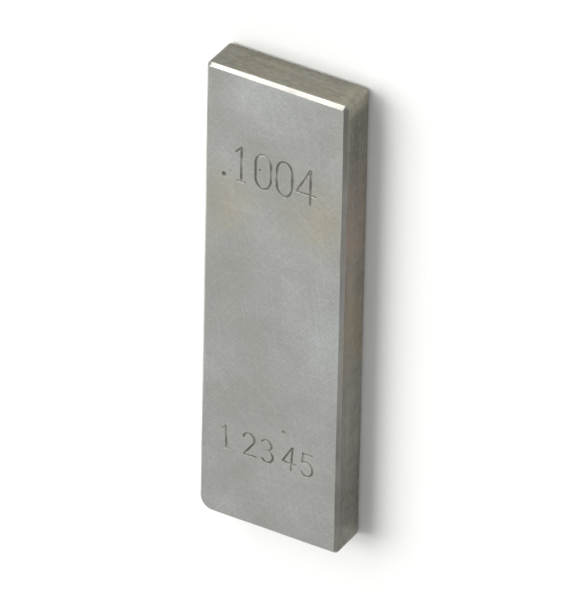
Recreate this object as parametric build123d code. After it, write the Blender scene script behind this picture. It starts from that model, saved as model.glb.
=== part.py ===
"""Rectangular steel gauge block, 0.1004 inch between its gauging faces.

One piece of hardened and lapped steel, lying on its plain gauging face. The marked
gauging face looks up along +Z, and the long side of both runs along Y, with the foot
of the mark towards -Y. The origin is the middle of the plain gauging face.
"""

import os

from build123d import *

# Driving dimensions, in millimetres
INCH = 25.4
NOMINAL_SIZE = 0.1004 * INCH  # the length that the block gives, gauging face to gauging face
FACE_LENGTH = 30.0  # long side of the section, end to end
FACE_WIDTH = 9.0  # short side of the section, side to side
EDGE_BREAK = 0.2  # leg of the 45 degree chamfer around both gauging faces
FACE_CORNER_RADIUS = 0.1  # left on a gauging face's corner, inside the chamfer
WORN_CORNER_RADIUS = 0.65  # the same at the one foot corner that wear has rounded

# The outline lies outside the gauging face's own edge by the width of the chamfer
OUTLINE_CORNER_RADIUS = FACE_CORNER_RADIUS + EDGE_BREAK
OUTLINE_WORN_RADIUS = WORN_CORNER_RADIUS + EDGE_BREAK


def section_outline():
    """The outline as the marked face shows it, with the worn corner on the left of its foot."""
    outline = Rectangle(FACE_WIDTH, FACE_LENGTH)
    worn_corner = outline.vertices().group_by(Axis.Y)[0].sort_by(Axis.X)[0]
    sharp_corners = [corner for corner in outline.vertices() if corner != worn_corner]
    outline = fillet(sharp_corners, OUTLINE_CORNER_RADIUS)
    worn_corner = outline.vertices().sort_by_distance(worn_corner)[0]
    return fillet(worn_corner, OUTLINE_WORN_RADIUS)


def gauge_block():
    """The section made as thick as the nominal size, with the edge of each gauging face broken."""
    block = extrude(section_outline(), NOMINAL_SIZE)
    gauging_faces = block.faces().filter_by(Axis.Z)
    return chamfer(gauging_faces.edges(), EDGE_BREAK)


os.makedirs("parts", exist_ok=True)
export_step(gauge_block(), "parts/gauge_block.step")
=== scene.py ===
"""A steel gauge block lying on its plain gauging face, with its size cut into the face that looks up.

The block is made in millimetres by Geometry Nodes, because its shape follows a rule: an edge profile
swept round a rounded outline, capped by the two gauging faces, with the marks sunk in as grooves.
"""

import math
import random

import bmesh
import bpy
from mathutils import Matrix, Vector


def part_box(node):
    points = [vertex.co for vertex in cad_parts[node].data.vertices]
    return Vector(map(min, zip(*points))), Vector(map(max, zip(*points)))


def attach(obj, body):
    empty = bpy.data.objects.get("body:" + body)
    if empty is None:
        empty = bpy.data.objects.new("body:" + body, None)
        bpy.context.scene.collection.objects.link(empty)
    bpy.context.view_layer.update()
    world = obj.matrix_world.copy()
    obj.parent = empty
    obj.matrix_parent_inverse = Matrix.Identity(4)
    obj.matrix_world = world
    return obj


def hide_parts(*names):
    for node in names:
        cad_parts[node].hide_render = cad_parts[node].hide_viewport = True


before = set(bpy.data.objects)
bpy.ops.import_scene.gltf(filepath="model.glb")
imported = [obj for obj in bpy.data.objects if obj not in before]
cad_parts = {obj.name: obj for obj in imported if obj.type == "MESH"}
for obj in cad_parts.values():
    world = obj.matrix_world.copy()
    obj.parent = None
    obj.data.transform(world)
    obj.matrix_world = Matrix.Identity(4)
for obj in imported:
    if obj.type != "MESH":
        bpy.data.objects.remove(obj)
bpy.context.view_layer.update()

MM = 0.001  # one millimetre in metres

# The block, in millimetres, with its overall size from the frame
block_low, block_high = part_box("gauge_block")
WIDTH, LENGTH, THICKNESS = (block_high - block_low) / MM
EDGE_BREAK = 0.2  # leg of the 45 degree chamfer round both gauging faces
EDGE_ROUND = 0.05  # radius left by the stone where the chamfer meets a face or a side
FACE_STRIP = 0.07  # width of the gauging faces' rim that is swept together with the edge
EDGE_BAND = EDGE_BREAK + FACE_STRIP  # width of the swept edge, from the outline inwards
FACE_CORNER = 0.1  # corner radius of the gauging faces
WORN_FACE_CORNER = 0.65  # and at the one foot corner that wear has rounded
CORNER_RADIUS = FACE_CORNER + EDGE_BREAK  # of the outline
WORN_CORNER_RADIUS = WORN_FACE_CORNER + EDGE_BREAK
STONED_UNEVENNESS = 0.02  # how far a chamfer's two lines wander, because it is stoned by hand
STONE_STROKE = 2.5  # length over which a stoned chamfer wanders once

# How finely it is meshed
EDGE_STEP = 0.5  # millimetres between the points along the straight edges
CORNER_STEPS = 12  # points round each corner of the outline
EASING_STEPS = 3  # points round each eased edge
MARK_STEP = 0.025  # millimetres between the points of the fields that the marks are sunk into
ARC_STEP = 15  # degrees between the points of a curved stroke
MERGE_DISTANCE = 0.0005  # points nearer than this many millimetres are one

# How near a face's normal is to an axis, from 0 to 1, tells what kind of face it is
PLANE_SLOPE = 0.9999  # over this for any axis, it is part of a plane
UPRIGHT_SLOPE = 0.5  # under this for Z, it is on a side or an end, or on their eased edges
LEVEL_SLOPE = 0.995  # over this for Z, it is on a gauging face

# The marks on the upper face, in millimetres; places are from the face's left edge and from its foot
SIZE_MARK = ".1004"
SIZE_MARK_HEIGHT = 2.25
SIZE_MARK_FOOT = LENGTH - 7.13
SIZE_MARK_MIDDLES = (1.28, 2.38, 3.78, 5.14, 6.55)  # of each character
SIZE_STROKE = 0.15  # width of a groove at the surface, where the stroke runs upright
NUMBER_MARK = "12345"
NUMBER_MARK_HEIGHT = 1.5
NUMBER_MARK_FOOT = LENGTH - 25.3
NUMBER_MARK_MIDDLES = (1.73, 3.2, 4.5, 5.75, 6.97)
NUMBER_STROKE = 0.14
DOT_STROKE = 0.25
DOT_LENGTH = 0.02  # a dot is a very short stroke
PITS = (  # place and width of each
    (5.4, LENGTH - 22.9, 0.24),
    (3.57, LENGTH - 5.95, 0.13),
    (1.7, LENGTH - 6.6, 0.09),
)
PEN_THIN = 0.75  # width of a level stroke, as a share of an upright one's
HAND_SEED = 5
HAND_SHIFT = 0.07  # how far a hand-marked figure strays from its place
HAND_TILT = 4.0  # degrees that it leans at most
GROOVE_DEPTH = 0.4  # as a share of half the groove's width
GROOVE_FLOOR = 0.5  # width of a groove's floor, as a share of its width at the surface
GROOVE_WEAR = 0.35  # share of a groove's depth that is worn away in places
GROOVE_WEAR_RANGE = (0.35, 0.65)  # heights of the wear's noise from no wear to all of it
GROOVE_RAGGED, GROOVE_RAGGED_STEP = 0.012, 0.2  # how far a groove's edge wanders, and over what length
FIELD_MARGIN = 0.3  # of fine mesh above and below a mark
MARK_FIELDS = (  # left, foot, right and head of each field of fine mesh
    (0.7, SIZE_MARK_FOOT - FIELD_MARGIN, 7.6, SIZE_MARK_FOOT + SIZE_MARK_HEIGHT + FIELD_MARGIN),
    (1.1, NUMBER_MARK_FOOT - FIELD_MARGIN, 7.8, LENGTH - 22.6),
)

BLOCK_SIZES = {
    "Width": WIDTH,
    "Length": LENGTH,
    "Thickness": THICKNESS,
    "Edge break": EDGE_BREAK,
    "Edge round": EDGE_ROUND,
    "Edge band": EDGE_BAND,
    "Unevenness": STONED_UNEVENNESS,
    "Corner radius": CORNER_RADIUS,
    "Worn corner radius": WORN_CORNER_RADIUS,
    "Edge step": EDGE_STEP,
    "Groove depth": GROOVE_DEPTH,
    "Groove floor": GROOVE_FLOOR,
    "Groove wear": GROOVE_WEAR,
    "Groove raggedness": GROOVE_RAGGED,
    "Mark step": MARK_STEP,
}

# The finishes' patterns, in millimetres, with places as for the marks and sizes of lines along X, Y and Z
PLAIN, FINE, FINEST = 2.0, 3.0, 4.0  # how often a noise is refined
NOISE_RANGE = (0.3, 0.7)  # heights that nearly all of a noise lies between
LAP_LINE = (0.045, 3.0, 1.0)  # real ones are a few microns wide, and these are coarse enough to show
LAP_TURNS = (9, 52, 97, 141)  # degrees that the lapping lines are turned by
LAP_DEPTH = 0.002
SCRATCH_RANGE = (0.62, 0.8)  # heights of the lapping lines where a scratch starts and where it is full
LAP_GRAIN = 0.14
SMEAR = 3.4
STRAW_PATCHES = ((1.0, LENGTH - 8.8, 3.0), (7.5, LENGTH - 7.9, 3.2))  # place and reach of each
# Patches of painted sheen, where the upper face's colour is made lighter to stand in for light on it; place
# and reach of each
PAINTED_SHEEN_PATCHES = ((8.8, LENGTH - 15.0, 6.0), (4.5, LENGTH - 0.5, 4.5), (-1.0, 3.0, 3.5))
PRICK_SPACING = 1.9
PRICK_RADIUS = 0.045  # of the largest
PRICKED_SHARE = 0.3  # of the places that could have a pin prick
ETCH_GRAIN = 0.09
ETCH_FADE = 0.7
ETCH_SPREAD = 1.3  # how far the etched colour reaches, as a share of half a groove's width
GRIND_LINE = (5.0, 5.0, 0.035)  # also coarser than real ones, and level on the ends and the sides
GRIND_DEPTH = 0.004
LOADED_STREAK = (9.0, 9.0, 0.4)  # of a dull streak where the wheel loaded up
GRIT_DASH = (0.5, 0.5, 0.08)  # of the short dashes that its grit left
BLOTCH = 1.5
BLOTCH_HARSHNESS = 0.65  # strength of each refining of the blotches, as a share of the one before
RAGGED_EDGE = 1.6  # how finely the edge of a patch or a stain is broken up
RAGGED_REACH = 1.1  # and how far
STAINS_AND_PAINTED_LIGHT = {  # place and reach of each stain on the sides and ends, and of the painted shade and painted reflection among them
    "olive": ((2.5, LENGTH, 6.0), (7.0, LENGTH, 5.0), (4.5, 0.0, 6.0)),
    # on the right side a painted reddish reflection, on the left side a brown stain
    "brown": ((WIDTH, LENGTH - 9.0, 6.5), (0.0, 11.0, 5.0)),
    "tan": ((WIDTH, LENGTH - 15.0, 5.0),),
    # painted shade darkening the head's left end
    "head end painted shade": ((0.0, LENGTH, 4.2),),
    # painted shade darkening the right side towards the foot
    "dark": ((WIDTH, 2.0, 6.5),),
}
SPOTS_DOWN = 0.45 * THICKNESS  # how far below the face the soft spots lie
SOFT_SPOTS = {  # place and reach along X, Y and Z of each spot by the head's right corner; the two lighter ones are painted highlights where that rounded corner catches light
    "dark streak": ((WIDTH, LENGTH - 2.6), (2.0, 6.0, 1.2)),
    "side corner painted highlight": ((WIDTH, LENGTH - 0.5), (0.6, 0.65, 2.8)),
    "head corner painted highlight": ((WIDTH - 0.6, LENGTH), (0.6, 0.6, 2.8)),
}
STONE_DEPTH = 0.003  # of the lines that the stone left
END_WEAR = 0.45  # how much more the chamfers across the ends are worn
HANDLED_WEAR = 0.4  # and those along the sides near their middle
HANDLED_RUN = (4.0, 12.0)  # distances from the middle where that starts to fade and where it ends
BARED_RANGE = (0.35, 0.95)  # heights of the wear where bared steel starts and where it is full

# The finishes' colours: a base, and for each tint the height where it starts, where it is full, and how full
LAPPED_GREY = "#C9C8C1"
LAPPED_TINTS = {
    # painted sheen from the sheen patches, laid over smears where handling has polished the steel
    "polish_and_painted_sheen": (0.35, 1.45, 1.0, "#DEE0DE"),
    "straw": (0.0, 0.6, 0.75, "#D4C9AD"),
    "grain": (*NOISE_RANGE, 0.34, "#A9AAA6"),
    "hair lines": (0.6, 0.4, 0.36, "#9FA09C"),
    "scratches": (0.0, 1.0, 0.3, "#E6E6E3"),
    "pin pricks": (0.0, 1.0, 0.8, "#6E6C66"),
}
ETCHED_GREY = "#75736C"
ETCHED_TINTS = {
    "fading": (0.4, 0.7, 1.0, "#A3A19A"),
    "pitting": (0.45, 0.7, 0.5, "#605E59"),
}
GROUND_GREY = "#8C8A83"
GROUND_TINTS = {
    "blotches": (*NOISE_RANGE, 1.0, "#ABA9A1"),
    "olive": (0.0, 1.0, 1.0, "#9C967F"),
    # partly a painted reddish reflection on the right side
    "brown": (0.0, 1.0, 1.0, "#B09482"),
    "tan": (0.0, 1.0, 1.0, "#A8906F"),
    "head end painted shade": (0.0, 1.0, 1.0, "#5C5951"),
    # painted shade on the right side towards the foot
    "dark": (0.0, 1.0, 1.0, "#4C4B46"),
    "dark streak": (0.0, 1.0, 1.0, "#40372B"),
    # painted highlights where the rounded corner between the head and the right side catches light
    "side corner painted highlight": (0.0, 1.0, 1.0, "#D8D4BC"),
    "head corner painted highlight": (0.0, 1.0, 1.0, "#BDB8A0"),
    "loaded streaks": (0.4, 0.7, 0.4, "#6F6B61"),
    "furrows": (0.35, 0.65, 0.45, "#6D6A62"),
    "bright dashes": (0.46, 0.72, 0.37, "#C0BCAE"),
}
STONED_GREY = "#95918A"
STONED_TINTS = {
    "bared": (*BARED_RANGE, 1.0, "#BFBDB6"),
    "lines": (0.4, 0.7, 0.35, "#94928B"),
}
SIDE_PAINTED_LIGHT = (0.76, 1.42)  # painted light and shade: how bright the long sides' colour is made by the upper face and by the plain one

# The finishes' roughness
LAPPED_ROUGHNESS = (0.28, 0.32)  # of clean and of smeared steel
ETCHED_ROUGHNESS = 0.7
GROUND_ROUGHNESS = (0.38, 0.5)  # of the dark and of the light blotches
STONED_ROUGHNESS = (0.34, 0.25)  # of dull and of bared steel

# The photograph's view of the block, in degrees off the upper face's normal, with the long side up
VIEW_TO_THE_RIGHT = 29.65
VIEW_ABOVE = 34.15
VIEW_LEAN = 1.2  # the picture's own lean, its top to the right
VIEW_DISTANCE = 0.747  # metres
BLOCK_SHARE = 0.86  # of the picture's height that the block takes up
SENSOR = 36.0  # millimetres along the picture's longer side

# The studio, in metres and in light relative to a white that just fills the picture's range
FLOOR_SIZE = 6.0
FLOOR_COLOUR = "#F3F3F1"
FLOOR_ROUGHNESS = 0.9
FLOOR_GLOSS = 0.1
ROOM_COLOUR = "#FAFBFC"
ROOM_LIGHT = (0.585, 0.44)  # from the left and from the right
SOFTBOXES = {  # the way to each panel, its distance, its width and its brightness
    "overhead_softbox": ((-0.6, 0.1, 0.79), 0.9, 0.72, 4.5),
    "head_softbox": ((-0.344, 0.743, 0.599), 0.8, 0.3, 3.0),
}


def linear(code):
    """A colour given as sRGB hex, in linear light."""
    parts = [int(code[i:i + 2], 16) / 255 for i in (1, 3, 5)]
    parts = [p / 12.92 if p <= 0.04045 else ((p + 0.055) / 1.055) ** 2.4 for p in parts]
    return (*parts, 1.0)


def metres(sizes):
    """Sizes in millimetres, as metres."""
    return tuple(size * MM for size in sizes)


def per(size):
    """The texture scale whose pattern repeats about once every so many millimetres."""
    return 1 / (size * MM)


def on_face(x, y, down=0.0):
    """The point so many millimetres from the upper face's left edge, from its foot and below the face."""
    return metres((x - WIDTH / 2, y - LENGTH / 2, THICKNESS - down))


def add(tree, kind, inputs=(), **settings):
    """The outputs of a new node with its settings made, and its inputs linked to outputs or set to values.

    Inputs are given in their order, or by name or number. A list is linked to one input all together.
    """
    made = tree.nodes.new(kind)
    for name, value in settings.items():
        setattr(made, name, value)
    for place, value in inputs.items() if isinstance(inputs, dict) else enumerate(inputs):
        for source in value if isinstance(value, list) else [value]:
            if isinstance(source, bpy.types.NodeSocket):
                tree.links.new(source, made.inputs[place])
            else:
                made.inputs[place].default_value = source
    return made.outputs


# Materials


def new_metal(name):
    """A new material, its empty node tree and the block's own coordinates."""
    material = bpy.data.materials.new(name)
    material.use_nodes = True
    tree = material.node_tree
    tree.nodes.clear()
    place = add(tree, "ShaderNodeTexCoord")["Object"]
    return material, tree, place


def finish_metal(tree, colour, roughness, lines, depth):
    """The metal's surface, with lines in it that are so many millimetres deep."""
    bump = add(tree, "ShaderNodeBump", {"Strength": 1.0, "Distance": depth * MM, "Height": lines})[0]
    shader = add(tree, "ShaderNodeBsdfPrincipled", {
        "Base Color": colour, "Metallic": 1.0, "Roughness": roughness, "Normal": bump})[0]
    add(tree, "ShaderNodeOutputMaterial", {"Surface": shader})


def paint(tree, base, tints, patterns):
    """A base colour with tints laid over it in turn, each as strong as the height of its pattern says."""
    colour = linear(base)
    for name, (start, full, strength, tint) in tints.items():
        share = add(tree, "ShaderNodeMapRange", [patterns[name], start, full, 0.0, strength])[0]
        # A mix of colours has them at its inputs 6 and 7, and its result at output 2
        colour = add(tree, "ShaderNodeMix", {0: share, 6: colour, 7: linear(tint)}, data_type="RGBA")[2]
    return colour


def soft_spot(tree, place, middle, reach):
    """How far a point lies inside an oval spot, from 0 at its rim to 1 in its middle."""
    away = add(tree, "ShaderNodeMapping", vector_type="TEXTURE", inputs={
        "Vector": place, "Location": middle, "Scale": metres(reach)})[0]
    away = add(tree, "ShaderNodeVectorMath", [away], operation="LENGTH")["Value"]
    return add(tree, "ShaderNodeMapRange", [away, 1.0, 0.0, 0.0, 1.0], interpolation_type="SMOOTHSTEP")[0]


def patches(tree, place, spots):
    """How far a point lies inside any of some round spots with ragged edges, from 0 to 1."""
    ragged = add(tree, "ShaderNodeTexNoise", {
        "Vector": place, "Scale": per(RAGGED_EDGE), "Detail": FINE}, normalize=False)["Color"]
    strayed = add(tree, "ShaderNodeVectorMath", [
        ragged, metres([RAGGED_REACH] * 3), place], operation="MULTIPLY_ADD")[0]
    share = 0.0
    for x, y, reach in spots:
        spot = soft_spot(tree, strayed, on_face(x, y), [reach] * 3)
        share = add(tree, "ShaderNodeMath", [spot, share], operation="MAXIMUM")[0]
    return share


def fine_lines(tree, place, sizes, detail, turn=0):
    """The height of lines with those sizes along X, Y and Z, turned by so many degrees about Z."""
    along = add(tree, "ShaderNodeMapping", vector_type="TEXTURE", inputs={
        "Vector": place, "Rotation": (0, 0, math.radians(turn)), "Scale": metres(sizes)})[0]
    return add(tree, "ShaderNodeTexNoise", {"Vector": along, "Scale": 1.0, "Detail": detail})["Fac"]


def towards_edge(tree, across, size, inner, outer):
    """A value that goes from inner to outer over the last corner radius before the outline."""
    away = add(tree, "ShaderNodeMath", [across], operation="ABSOLUTE")[0]
    return add(tree, "ShaderNodeMapRange", [
        away, (size / 2 - CORNER_RADIUS) * MM, size / 2 * MM, inner, outer])[0]


def lapping_lines(tree, place):
    """The height of the hair lines that the lap left crossing each other, and a few scratches among them."""
    total, scratches = 0.0, 0.0
    for turn in LAP_TURNS:
        lines = fine_lines(tree, place, LAP_LINE, PLAIN, turn)
        proud = add(tree, "ShaderNodeMapRange", [lines, *SCRATCH_RANGE, 0.0, 1.0])[0]
        total = add(tree, "ShaderNodeMath", [lines, total], operation="ADD")[0]
        scratches = add(tree, "ShaderNodeMath", [proud, scratches], operation="MAXIMUM")[0]
    mean = add(tree, "ShaderNodeMath", [total, len(LAP_TURNS)], operation="DIVIDE")[0]
    return mean, scratches


def pin_pricks(tree, place):
    """A few small round pricks, from 0 at their rims to 1 in the middle."""
    cells = add(tree, "ShaderNodeTexVoronoi", {
        "Vector": place, "Scale": per(PRICK_SPACING)}, voronoi_dimensions="2D")
    draw = add(tree, "ShaderNodeSeparateColor", [cells["Color"]])[0]
    reach = add(tree, "ShaderNodeMapRange", [
        draw, 1 - PRICKED_SHARE, 1.0, 0.0, PRICK_RADIUS / PRICK_SPACING])[0]
    return add(tree, "ShaderNodeMapRange", [
        cells["Distance"], reach, 0.0, 0.0, 1.0], interpolation_type="SMOOTHSTEP")[0]


def etched_colour(tree, place):
    """The bitten floor of the marks: darker and grainy, and worn grey again in places."""
    fading = add(tree, "ShaderNodeTexNoise", {
        "Vector": place, "Scale": per(ETCH_FADE), "Detail": PLAIN})["Fac"]
    pitting = add(tree, "ShaderNodeTexNoise", {
        "Vector": place, "Scale": per(ETCH_GRAIN), "Detail": FINE})["Fac"]
    return paint(tree, ETCHED_GREY, ETCHED_TINTS, {"fading": fading, "pitting": pitting})


def lapped_steel():
    """Hardened steel lapped flat: a satin grey with crossing hair lines, smears, patches of painted sheen
    and faint straw patches.
    """
    material, tree, place = new_metal("lapped_gauge_steel")
    hair, scratches = lapping_lines(tree, place)
    grain = add(tree, "ShaderNodeTexNoise", {
        "Vector": place, "Scale": per(LAP_GRAIN), "Detail": FINE})["Fac"]
    smear = add(tree, "ShaderNodeTexNoise", {
        "Vector": place, "Scale": per(SMEAR), "Detail": FINE})["Fac"]

    # Handling has polished it in places, and the straw patches are broken up by the same smears; the lighter
    # patches are painted sheen, colour that stands in for light on the face
    light = patches(tree, place, PAINTED_SHEEN_PATCHES)
    straw = patches(tree, place, STRAW_PATCHES)
    colour = paint(tree, LAPPED_GREY, LAPPED_TINTS, {
        "polish_and_painted_sheen": add(tree, "ShaderNodeMath", [light, smear], operation="ADD")[0],
        "straw": add(tree, "ShaderNodeMath", [straw, smear], operation="MULTIPLY")[0],
        "grain": grain,
        "hair lines": hair,
        "scratches": scratches,
        "pin pricks": pin_pricks(tree, place),
    })

    # The marks are bitten into it, dark and dull
    bitten = add(tree, "ShaderNodeAttribute", attribute_name="etched")["Fac"]
    colour = add(tree, "ShaderNodeMix", {
        0: bitten, 6: colour, 7: etched_colour(tree, place)}, data_type="RGBA")[2]
    roughness = add(tree, "ShaderNodeMapRange", [smear, *NOISE_RANGE, *LAPPED_ROUGHNESS])[0]
    roughness = add(tree, "ShaderNodeMapRange", [bitten, 0.0, 1.0, roughness, ETCHED_ROUGHNESS])[0]
    finish_metal(tree, colour, roughness, hair, LAP_DEPTH)
    return material


def ground_steel():
    """Tool steel ground on sides and ends and left dull: a grainy, lined grey, stained olive and brown, with
    painted shade, painted highlights and a painted reflection in places.
    """
    material, tree, place = new_metal("ground_tool_steel")
    blotch = add(tree, "ShaderNodeTexNoise", {
        "Vector": place, "Scale": per(BLOTCH), "Detail": FINEST, "Roughness": BLOTCH_HARSHNESS})["Fac"]
    lines = fine_lines(tree, place, GRIND_LINE, PLAIN)
    streaks = fine_lines(tree, place, LOADED_STREAK, FINE)
    patterns = {
        "blotches": blotch,
        "loaded streaks": streaks,
        "furrows": lines,
        "bright dashes": fine_lines(tree, place, GRIT_DASH, FINE),
    }

    # The stains are broken up by the blotches, and the soft spots, with the painted highlights among them,
    # by the streaks
    mottle = add(tree, "ShaderNodeMapRange", [blotch, *NOISE_RANGE, 0.0, 1.0])[0]
    # Some of these are painted shade and a painted reflection rather than stains
    for name, spots in STAINS_AND_PAINTED_LIGHT.items():
        stain = patches(tree, place, spots)
        patterns[name] = add(tree, "ShaderNodeMath", [stain, mottle], operation="MULTIPLY")[0]
    for name, ((x, y), reach) in SOFT_SPOTS.items():
        spot = soft_spot(tree, place, on_face(x, y, SPOTS_DOWN), reach)
        patterns[name] = add(tree, "ShaderNodeMath", [spot, streaks], operation="MULTIPLY")[0]
    colour = paint(tree, GROUND_GREY, GROUND_TINTS, patterns)

    # Painted light: the long sides' colour is made brighter towards the plain face, to lift the shade that
    # the floor casts there
    axes = add(tree, "ShaderNodeSeparateXYZ", [place])
    painted_brightness = add(tree, "ShaderNodeMapRange", [axes["Z"], THICKNESS * MM, 0.0, *SIDE_PAINTED_LIGHT])[0]
    painted_brightness = towards_edge(tree, axes["X"], WIDTH, 1.0, painted_brightness)
    colour = add(tree, "ShaderNodeVectorMath", {0: colour, "Scale": painted_brightness}, operation="SCALE")[0]
    roughness = add(tree, "ShaderNodeMapRange", [blotch, *NOISE_RANGE, *GROUND_ROUGHNESS])[0]
    finish_metal(tree, colour, roughness, lines, GRIND_DEPTH)
    return material


def stoned_steel():
    """Steel stoned along the chamfers: a dull grey with fine lines, bared bright where it is most worn."""
    material, tree, place = new_metal("stoned_edge_steel")
    lines = fine_lines(tree, place, GRIND_LINE, FINE)
    wear = add(tree, "ShaderNodeTexNoise", {
        "Vector": place, "Scale": per(STONE_STROKE), "Detail": FINEST})["Fac"]

    # It is worn the most across the ends, and near the middle of the long sides, where it is held
    along = add(tree, "ShaderNodeSeparateXYZ", [place])["Y"]
    from_middle = add(tree, "ShaderNodeMath", [along], operation="ABSOLUTE")[0]
    held = add(tree, "ShaderNodeMapRange", [from_middle, *metres(HANDLED_RUN), HANDLED_WEAR, 0.0])[0]
    for more in (towards_edge(tree, along, LENGTH, 0.0, END_WEAR), held):
        wear = add(tree, "ShaderNodeMath", [wear, more], operation="ADD")[0]
    colour = paint(tree, STONED_GREY, STONED_TINTS, {"bared": wear, "lines": lines})
    roughness = add(tree, "ShaderNodeMapRange", [wear, *BARED_RANGE, *STONED_ROUGHNESS])[0]
    finish_metal(tree, colour, roughness, lines, STONE_DEPTH)
    return material


# The marks, as the middle lines of their strokes


def arc(middle, across, up, start, end):
    """Points on part of an ellipse with those half axes, from one angle in degrees to another."""
    steps = max(2, round(abs(end - start) / ARC_STEP))
    angles = [math.radians(start + (end - start) * i / steps) for i in range(steps + 1)]
    return [(middle[0] + across * math.cos(a), middle[1] + up * math.sin(a)) for a in angles]


# Each figure's strokes, 1 high and about its own middle
FIGURES = {
    ".": [[(0, 0.06), (0, 0.06 + DOT_LENGTH)]],
    "0": [arc((0, 0.69), 0.22, 0.31, 0, 180) + arc((0, 0.31), 0.22, 0.31, 180, 360) + [(0.22, 0.69)]],
    "1": [[(0, 1), (0, 0)], [(0, 0.99), (-0.15, 0.84)], [(-0.11, 0.01), (0.11, 0.01)]],
    "2": [arc((0, 0.74), 0.24, 0.26, 165, -35) + [(-0.25, 0.03)], [(-0.25, 0.02), (0.26, 0.02)]],
    "3": [arc((-0.02, 0.76), 0.21, 0.24, 150, -90), arc((-0.02, 0.27), 0.25, 0.26, 90, -150)],
    "4": [[(0.11, 1), (0.11, 0)], [(0.09, 0.98), (-0.27, 0.29)], [(-0.27, 0.28), (0.29, 0.28)]],
    "5": [
        [(0.22, 0.99), (-0.17, 0.99)],
        [(-0.17, 0.99), (-0.2, 0.56)],
        arc((-0.02, 0.32), 0.25, 0.32, 130, -150),
    ],
}


def add_stroke(curve, points, stroke):
    """One stroke as a spline whose radius is half its groove's width, as a broad pen would draw it."""
    closed = math.dist(points[0], points[-1]) < MERGE_DISTANCE
    points = points[:-1] if closed else points
    spline = curve.splines.new("POLY")
    spline.points.add(len(points) - 1)
    spline.use_cyclic_u = closed
    for count, (point, (x, y)) in enumerate(zip(spline.points, points)):
        behind = points[count - 1] if closed or count else points[0]
        ahead = points[(count + 1) % len(points)] if closed or count + 1 < len(points) else points[-1]
        upright = abs(ahead[1] - behind[1]) / math.dist(ahead, behind)
        point.co = (x - WIDTH / 2, y - LENGTH / 2, 0, 1)
        point.radius = stroke / 2 * (PEN_THIN + (1 - PEN_THIN) * upright)


def marks():
    """All strokes of both marks, and the pits, as one curve in millimetres about the face's middle."""
    curve = bpy.data.curves.new("mark_strokes", "CURVE")
    curve.dimensions = "3D"
    hand = random.Random(HAND_SEED)
    for figure, middle in zip(SIZE_MARK, SIZE_MARK_MIDDLES):
        for points in FIGURES[figure]:
            placed = [
                (middle + x * SIZE_MARK_HEIGHT, SIZE_MARK_FOOT + y * SIZE_MARK_HEIGHT) for x, y in points]
            add_stroke(curve, placed, DOT_STROKE if figure == "." else SIZE_STROKE)
    for figure, middle in zip(NUMBER_MARK, NUMBER_MARK_MIDDLES):
        shift = Vector((hand.uniform(-1, 1), hand.uniform(-1, 1))) * HAND_SHIFT
        foot = Vector((middle, NUMBER_MARK_FOOT)) + shift
        turn = Matrix.Rotation(math.radians(hand.uniform(-1, 1) * HAND_TILT), 2)
        for points in FIGURES[figure]:
            placed = [foot + turn @ (Vector(p) * NUMBER_MARK_HEIGHT) for p in points]
            add_stroke(curve, placed, NUMBER_STROKE)
    for x, y, pit_width in PITS:
        add_stroke(curve, [(x, y), (x, y + DOT_LENGTH)], pit_width)
    made = bpy.data.objects.new("mark_strokes", curve)
    bpy.context.scene.collection.objects.link(made)
    return made


# The block


def block_outline(tree, given):
    """The outline, with one corner more worn than the others and points along its straight edges."""
    place = add(tree, "GeometryNodeInputPosition")[0]
    axes = add(tree, "ShaderNodeSeparateXYZ", [place])
    outline = add(tree, "GeometryNodeCurvePrimitiveQuadrilateral", {
        "Width": given["Width"], "Height": given["Length"]})[0]
    left = add(tree, "FunctionNodeCompare", [axes["X"], 0.0], operation="LESS_THAN")[0]
    low = add(tree, "FunctionNodeCompare", [axes["Y"], 0.0], operation="LESS_THAN")[0]
    worn = add(tree, "FunctionNodeBooleanMath", [left, low], operation="AND")[0]
    radius = add(tree, "GeometryNodeSwitch", input_type="FLOAT", inputs={
        "Switch": worn, "False": given["Corner radius"], "True": given["Worn corner radius"]})[0]
    outline = add(tree, "GeometryNodeFilletCurve", mode="POLY", inputs={
        "Curve": outline, "Radius": radius, "Count": CORNER_STEPS})[0]

    # The straight edges are cut into steps, and the short runs round a corner come out at none
    index = add(tree, "GeometryNodeInputIndex")[0]
    following = add(tree, "GeometryNodeOffsetPointInCurve", {
        "Point Index": index, "Offset": 1})["Point Index"]
    ahead = add(tree, "GeometryNodeFieldAtIndex", data_type="FLOAT_VECTOR", inputs={
        "Index": following, "Value": place})[0]
    run = add(tree, "ShaderNodeVectorMath", [place, ahead], operation="DISTANCE")["Value"]
    steps = add(tree, "ShaderNodeMath", [run, given["Edge step"]], operation="DIVIDE")[0]
    outline = add(tree, "GeometryNodeSubdivideCurve", {"Curve": outline, "Cuts": steps})[0]
    return add(tree, "GeometryNodeSetCurveNormal", {"Curve": outline}, mode="Z_UP")[0]


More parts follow.
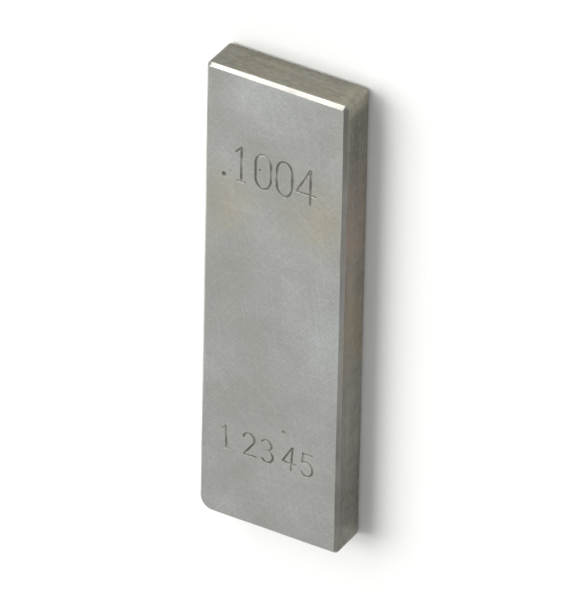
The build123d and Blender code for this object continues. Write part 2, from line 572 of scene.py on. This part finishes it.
def edge_profile(tree, given):
    """The edge's section, an open C with its two corners cut off at 45 degrees and then eased.

    Each of its points keeps how far it lies inside the outline, as its inset.
    """
    profile = add(tree, "GeometryNodeCurvePrimitiveQuadrilateral", {
        "Width": given["Edge band"], "Height": given["Thickness"]})[0]
    profile = add(tree, "GeometryNodeSetSplineCyclic", {"Geometry": profile, "Cyclic": False})[0]
    # A fillet of one step is a straight cut
    for radius, steps in ((given["Edge break"], 1), (given["Edge round"], EASING_STEPS)):
        profile = add(tree, "GeometryNodeFilletCurve", mode="POLY", inputs={
            "Curve": profile, "Radius": radius, "Count": steps})[0]
    inwards = add(tree, "ShaderNodeMath", [given["Edge band"], -0.5], operation="MULTIPLY")[0]
    inwards = add(tree, "ShaderNodeCombineXYZ", {"X": inwards})[0]
    profile = add(tree, "GeometryNodeTransform", {
        "Geometry": profile, "Translation": inwards, "Rotation": (0, 0, math.pi)})[0]
    place = add(tree, "GeometryNodeInputPosition")[0]
    outwards = add(tree, "ShaderNodeSeparateXYZ", [place])["X"]
    inset = add(tree, "ShaderNodeMath", [outwards, -1.0], operation="MULTIPLY")[0]
    return add(tree, "GeometryNodeStoreNamedAttribute", {
        "Geometry": profile, "Name": "inset", "Value": inset})[0]


def stone_edges(tree, given, edges):
    """The stone's uneven hand: a chamfer's line on a face moves in that face, and its other in the side."""
    place = add(tree, "GeometryNodeInputPosition")[0]
    inset = add(tree, "GeometryNodeInputNamedAttribute", {"Name": "inset"})[0]
    chamfer_middle = add(tree, "ShaderNodeMath", [given["Edge break"], 0.5], operation="MULTIPLY")[0]
    in_face = add(tree, "FunctionNodeCompare", [inset, chamfer_middle], operation="GREATER_THAN")[0]
    strip_middle = add(tree, "ShaderNodeMath", [given["Edge break"], given["Edge band"]], operation="ADD")[0]
    strip_middle = add(tree, "ShaderNodeMath", [strip_middle, 0.5], operation="MULTIPLY")[0]
    off_rim = add(tree, "FunctionNodeCompare", [inset, strip_middle], operation="LESS_THAN")[0]

    # The way that a point moves
    facing = add(tree, "GeometryNodeInputNormal")["Normal"]
    outwards = add(tree, "ShaderNodeVectorMath", [facing, (1, 1, 0)], operation="MULTIPLY")[0]
    outwards = add(tree, "ShaderNodeVectorMath", [outwards], operation="NORMALIZE")[0]
    height = add(tree, "ShaderNodeSeparateXYZ", [place])["Z"]
    upwards = add(tree, "ShaderNodeMath", [height], operation="SIGN")[0]
    upwards = add(tree, "ShaderNodeCombineXYZ", {"Z": upwards})[0]
    way = add(tree, "GeometryNodeSwitch", input_type="VECTOR", inputs={
        "Switch": in_face, "False": upwards, "True": outwards})[0]

    # And how far
    wander = add(tree, "ShaderNodeTexNoise", {
        "Vector": place, "Scale": 1 / STONE_STROKE, "Detail": FINE})["Fac"]
    wander = add(tree, "ShaderNodeMapRange", [wander, *NOISE_RANGE, -1.0, 1.0])[0]
    wander = add(tree, "ShaderNodeMath", [wander, given["Unevenness"]], operation="MULTIPLY")[0]
    offset = add(tree, "ShaderNodeVectorMath", {0: way, "Scale": wander}, operation="SCALE")[0]
    edges = add(tree, "GeometryNodeSetPosition", {
        "Geometry": edges, "Selection": off_rim, "Offset": offset})[0]
    return add(tree, "GeometryNodeRemoveAttribute", {"Geometry": edges, "Name": "inset"})[0]


def mark_fields(tree):
    """The fields of fine mesh for the marks, level and about the face's middle."""
    fields = []
    for left, foot, right, head in MARK_FIELDS:
        field = add(tree, "GeometryNodeMeshGrid", {
            "Size X": right - left, "Size Y": head - foot,
            "Vertices X": round((right - left) / MARK_STEP),
            "Vertices Y": round((head - foot) / MARK_STEP)})["Mesh"]
        middle = ((left + right - WIDTH) / 2, (foot + head - LENGTH) / 2, 0)
        fields.append(add(tree, "GeometryNodeTransform", {"Geometry": field, "Translation": middle})[0])
    return add(tree, "GeometryNodeJoinGeometry", [fields])[0]


def sink_marks(tree, given, fields):
    """The fields with the marks sunk in: a point goes down by how far it lies inside the nearest stroke."""
    place = add(tree, "GeometryNodeInputPosition")[0]
    half_width = add(tree, "GeometryNodeInputRadius")[0]
    strokes = add(tree, "GeometryNodeObjectInfo", {"Object": given["Marks"]})["Geometry"]
    strokes = add(tree, "GeometryNodeStoreNamedAttribute", {
        "Geometry": strokes, "Name": "half_width", "Value": half_width})[0]
    half_step = add(tree, "ShaderNodeMath", [given["Mark step"], 0.5], operation="MULTIPLY")[0]
    strokes = add(tree, "GeometryNodeCurveToPoints", {
        "Curve": strokes, "Length": half_step}, mode="LENGTH")[0]
    nearest = add(tree, "GeometryNodeSampleNearest", {"Geometry": strokes, "Sample Position": place})[0]
    middle = add(tree, "GeometryNodeSampleIndex", data_type="FLOAT_VECTOR", inputs={
        "Geometry": strokes, "Value": place, "Index": nearest})[0]
    half_width = add(tree, "GeometryNodeInputNamedAttribute", {"Name": "half_width"})[0]
    half_width = add(tree, "GeometryNodeSampleIndex", {
        "Geometry": strokes, "Value": half_width, "Index": nearest})[0]

    # The distance from the stroke's middle, with a ragged edge
    away = add(tree, "ShaderNodeVectorMath", [place, middle], operation="DISTANCE")["Value"]
    ragged = add(tree, "ShaderNodeTexNoise", {
        "Vector": place, "Scale": 1 / GROOVE_RAGGED_STEP}, normalize=False)["Fac"]
    away = add(tree, "ShaderNodeMath", [
        ragged, given["Groove raggedness"], away], operation="MULTIPLY_ADD")[0]

    # The etched colour reaches a little past the groove
    stain_reach = add(tree, "ShaderNodeMath", [half_width, ETCH_SPREAD], operation="MULTIPLY")[0]
    stain = add(tree, "ShaderNodeMapRange", [away, stain_reach, half_width, 0.0, 1.0])[0]
    fields = add(tree, "GeometryNodeStoreNamedAttribute", {
        "Geometry": fields, "Name": "etched", "Value": stain})[0]

    # The groove has sloping walls and a level floor, and is worn shallower in places
    floor_reach = add(tree, "ShaderNodeMath", [half_width, given["Groove floor"]], operation="MULTIPLY")[0]
    bite = add(tree, "ShaderNodeMapRange", [away, half_width, floor_reach, 0.0, 1.0])[0]
    wear = add(tree, "ShaderNodeTexNoise", {"Vector": place, "Scale": 1 / ETCH_FADE})["Fac"]
    wear = add(tree, "ShaderNodeMapRange", [wear, *GROOVE_WEAR_RANGE, 0.0, given["Groove wear"]])[0]
    left_of_it = add(tree, "ShaderNodeMath", [1.0, wear], operation="SUBTRACT")[0]
    depth = add(tree, "ShaderNodeMath", [half_width, given["Groove depth"]], operation="MULTIPLY")[0]
    for share in (bite, left_of_it, -1.0):
        depth = add(tree, "ShaderNodeMath", [depth, share], operation="MULTIPLY")[0]
    sink = add(tree, "ShaderNodeCombineXYZ", {"Z": depth})[0]
    return add(tree, "GeometryNodeSetPosition", {"Geometry": fields, "Offset": sink})[0]


def finish_faces(tree, block, lapped, ground, stoned):
    """The block with its planes shaded flat and the rest smooth, and each face in the finish of its kind."""
    facing = add(tree, "GeometryNodeInputNormal")["Normal"]
    facing = add(tree, "ShaderNodeVectorMath", [facing], operation="ABSOLUTE")[0]
    slopes = add(tree, "ShaderNodeSeparateXYZ", [facing])
    nearest = add(tree, "ShaderNodeMath", [slopes["X"], slopes["Y"]], operation="MAXIMUM")[0]
    nearest = add(tree, "ShaderNodeMath", [nearest, slopes["Z"]], operation="MAXIMUM")[0]
    rounded = add(tree, "FunctionNodeCompare", [nearest, PLANE_SLOPE], operation="LESS_THAN")[0]
    block = add(tree, "GeometryNodeSetShadeSmooth", {"Geometry": block, "Shade Smooth": rounded})[0]
    upright = add(tree, "FunctionNodeCompare", [slopes["Z"], UPRIGHT_SLOPE], operation="LESS_THAN")[0]
    level = add(tree, "FunctionNodeCompare", [slopes["Z"], LEVEL_SLOPE], operation="GREATER_THAN")[0]
    etched = add(tree, "GeometryNodeInputNamedAttribute", {"Name": "etched"})[0]
    grooved = add(tree, "FunctionNodeCompare", [etched, 0.0], operation="GREATER_THAN")[0]
    gauging = add(tree, "FunctionNodeBooleanMath", [level, grooved], operation="OR")[0]
    block = add(tree, "GeometryNodeRealizeInstances", {"Geometry": block})[0]
    for where, finish in ((True, stoned), (upright, ground), (gauging, lapped)):
        block = add(tree, "GeometryNodeSetMaterial", {
            "Geometry": block, "Selection": where, "Material": finish})[0]
    return block


def block_tree(materials):
    """The nodes that sweep, cap and mark the block, in millimetres, and hand it over in metres."""
    tree = bpy.data.node_groups.new("gauge_block_maker", "GeometryNodeTree")
    for name in BLOCK_SIZES:
        tree.interface.new_socket(name=name, in_out="INPUT", socket_type="NodeSocketFloat")
    tree.interface.new_socket(name="Marks", in_out="INPUT", socket_type="NodeSocketObject")
    tree.interface.new_socket(name="Block", in_out="OUTPUT", socket_type="NodeSocketGeometry")
    given = add(tree, "NodeGroupInput")
    edges = add(tree, "GeometryNodeCurveToMesh", {
        "Curve": block_outline(tree, given), "Profile Curve": edge_profile(tree, given)})[0]
    edges = stone_edges(tree, given, edges)

    # A rim is where a mesh edge has one face only; a comparison of whole numbers has them at inputs 2 and 3
    neighbours = add(tree, "GeometryNodeInputMeshEdgeNeighbors")[0]
    rim = add(tree, "FunctionNodeCompare", {2: neighbours, 3: 1}, data_type="INT", operation="EQUAL")[0]
    place = add(tree, "GeometryNodeInputPosition")[0]
    height = add(tree, "ShaderNodeSeparateXYZ", [place])["Z"]
    upper = add(tree, "FunctionNodeCompare", [height, 0.0], operation="GREATER_THAN")[0]
    upper_rim = add(tree, "FunctionNodeBooleanMath", [rim, upper], operation="AND")[0]

    # The gauging faces, filled in from the rim of the edges, with the upper one left open round the fields
    rim_line = add(tree, "GeometryNodeMeshToCurve", {"Mesh": edges, "Selection": upper_rim})[0]
    lower_face = add(tree, "GeometryNodeFillCurve", {"Curve": rim_line}, mode="TRIANGLES")[0]
    lower_face = add(tree, "GeometryNodeFlipFaces", {"Mesh": lower_face})[0]
    fields = mark_fields(tree)
    field_lines = add(tree, "GeometryNodeMeshToCurve", {"Mesh": fields, "Selection": rim})[0]
    borders = add(tree, "GeometryNodeJoinGeometry", [[field_lines, rim_line]])[0]
    upper_face = add(tree, "GeometryNodeFillCurve", {"Curve": borders}, mode="TRIANGLES")[0]
    fields = sink_marks(tree, given, fields)

    # All of it joined, in metres, and resting on the floor
    half_thickness = add(tree, "ShaderNodeMath", [given["Thickness"], 0.5], operation="MULTIPLY")[0]
    lift = add(tree, "ShaderNodeCombineXYZ", {"Z": half_thickness})[0]
    drop = add(tree, "ShaderNodeVectorMath", {0: lift, "Scale": -1.0}, operation="SCALE")[0]
    parts = [edges]
    for part, shift in ((lower_face, drop), (upper_face, lift), (fields, lift)):
        parts.append(add(tree, "GeometryNodeTransform", {"Geometry": part, "Translation": shift})[0])
    whole = add(tree, "GeometryNodeJoinGeometry", [parts])[0]
    whole = add(tree, "GeometryNodeMergeByDistance", {"Geometry": whole, "Distance": MERGE_DISTANCE})[0]
    lift = add(tree, "ShaderNodeVectorMath", {0: lift, "Scale": MM}, operation="SCALE")[0]
    block = add(tree, "GeometryNodeTransform", {
        "Geometry": whole, "Translation": lift, "Scale": (MM, MM, MM)})[0]
    add(tree, "NodeGroupOutput", [finish_faces(tree, block, *materials)])
    return tree


def make_block(strokes, materials):
    """The marked block as one plain mesh, with its faces turned outwards."""
    tree = block_tree(materials)
    maker = bpy.data.objects.new("block_maker", bpy.data.meshes.new("block_maker"))
    bpy.context.scene.collection.objects.link(maker)
    modifier = maker.modifiers.new("gauge_block_maker", "NODES")
    modifier.node_group = tree
    values = {**BLOCK_SIZES, "Marks": strokes}
    for socket in tree.interface.items_tree:
        if socket.in_out == "INPUT":
            modifier[socket.identifier] = values[socket.name]
    evaluated = maker.evaluated_get(bpy.context.evaluated_depsgraph_get())
    mesh = bpy.data.meshes.new_from_object(evaluated)
    mesh.name = "marked_block"
    mesh.materials.pop(index=mesh.materials[:].index(None))  # an empty slot left by the joining
    bpy.data.objects.remove(maker)
    bpy.data.objects.remove(strokes)
    shell = bmesh.new()
    shell.from_mesh(mesh)
    bmesh.ops.remove_doubles(shell, verts=shell.verts, dist=MERGE_DISTANCE * MM)
    bmesh.ops.recalc_face_normals(shell, faces=shell.faces)
    shell.to_mesh(mesh)
    shell.free()
    made = bpy.data.objects.new("marked_block", mesh)
    bpy.context.scene.collection.objects.link(made)
    return made


# The studio


def add_floor():
    """A pale matt sheet under the block."""
    material = bpy.data.materials.new("matt_pale_board")
    material.use_nodes = True
    shader = material.node_tree.nodes["Principled BSDF"]
    shader.inputs["Base Color"].default_value = linear(FLOOR_COLOUR)
    shader.inputs["Roughness"].default_value = FLOOR_ROUGHNESS
    shader.inputs["Specular IOR Level"].default_value = FLOOR_GLOSS
    mesh = bpy.data.meshes.new("floor")
    reach = FLOOR_SIZE / 2
    corners = [(-reach, -reach, 0), (reach, -reach, 0), (reach, reach, 0), (-reach, reach, 0)]
    mesh.from_pydata(corners, [], [(0, 1, 2, 3)])
    mesh.materials.append(material)
    floor = bpy.data.objects.new("floor", mesh)
    bpy.context.scene.collection.objects.link(floor)


def add_softbox(name, towards, distance, width, brightness):
    """A square soft panel of light that looks at the block from that direction."""
    light = bpy.data.lights.new(name, "AREA")
    light.size = width
    light.energy = brightness * math.pi * width ** 2  # what an evenly bright panel gives off
    panel = bpy.data.objects.new(name, light)
    way = Vector(towards).normalized()
    panel.location = way * distance
    panel.rotation_mode = "QUATERNION"
    panel.rotation_quaternion = way.to_track_quat("Z", "Y")
    bpy.context.scene.collection.objects.link(panel)


def add_room():
    """A white room round the block, lit from its left."""
    world = bpy.data.worlds.new("white_room")
    world.use_nodes = True
    tree = world.node_tree
    background = tree.nodes["Background"]
    background.inputs["Color"].default_value = linear(ROOM_COLOUR)
    way = add(tree, "ShaderNodeTexCoord")["Generated"]
    rightwards = add(tree, "ShaderNodeSeparateXYZ", [way])["X"]
    strength = add(tree, "ShaderNodeMapRange", [rightwards, -1.0, 1.0, *ROOM_LIGHT])[0]
    tree.links.new(strength, background.inputs["Strength"])
    bpy.context.scene.world = world


def add_camera():
    """The photograph's view of the block's three faces, close enough for the block to fill the picture."""
    aside, above = math.radians(VIEW_TO_THE_RIGHT), math.radians(VIEW_ABOVE)
    back = Vector((math.sin(aside) * math.cos(above), math.sin(above), math.cos(aside) * math.cos(above)))
    right = Vector((0, 1, 0)).cross(back).normalized()
    up = back.cross(right)
    turn = Matrix((right, up, back)).transposed() @ Matrix.Rotation(math.radians(VIEW_LEAN), 3, "Z")
    middle = (block_low + block_high) / 2
    corners = [Vector((x, y, z)) - middle for x in (block_low.x, block_high.x)
               for y in (block_low.y, block_high.y) for z in (block_low.z, block_high.z)]
    heights = [corner.dot(turn.col[1]) for corner in corners]
    sides = [corner.dot(turn.col[0]) for corner in corners]
    centre = turn.col[0] * (max(sides) + min(sides)) / 2 + turn.col[1] * (max(heights) + min(heights)) / 2
    data = bpy.data.cameras.new("camera")
    data.sensor_width = SENSOR
    data.lens = SENSOR * VIEW_DISTANCE * BLOCK_SHARE / (max(heights) - min(heights))
    data.clip_end = FLOOR_SIZE
    camera = bpy.data.objects.new("camera", data)
    camera.matrix_world = Matrix.Translation(middle + centre + back * VIEW_DISTANCE) @ turn.to_4x4()
    bpy.context.scene.collection.objects.link(camera)
    bpy.context.scene.camera = camera


block = make_block(marks(), [lapped_steel(), ground_steel(), stoned_steel()])
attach(block, "root")
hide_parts("gauge_block")

add_floor()
add_room()
for name, settings in SOFTBOXES.items():
    add_softbox(name, *settings)
add_camera()
bpy.context.scene.view_settings.view_transform = "Standard"
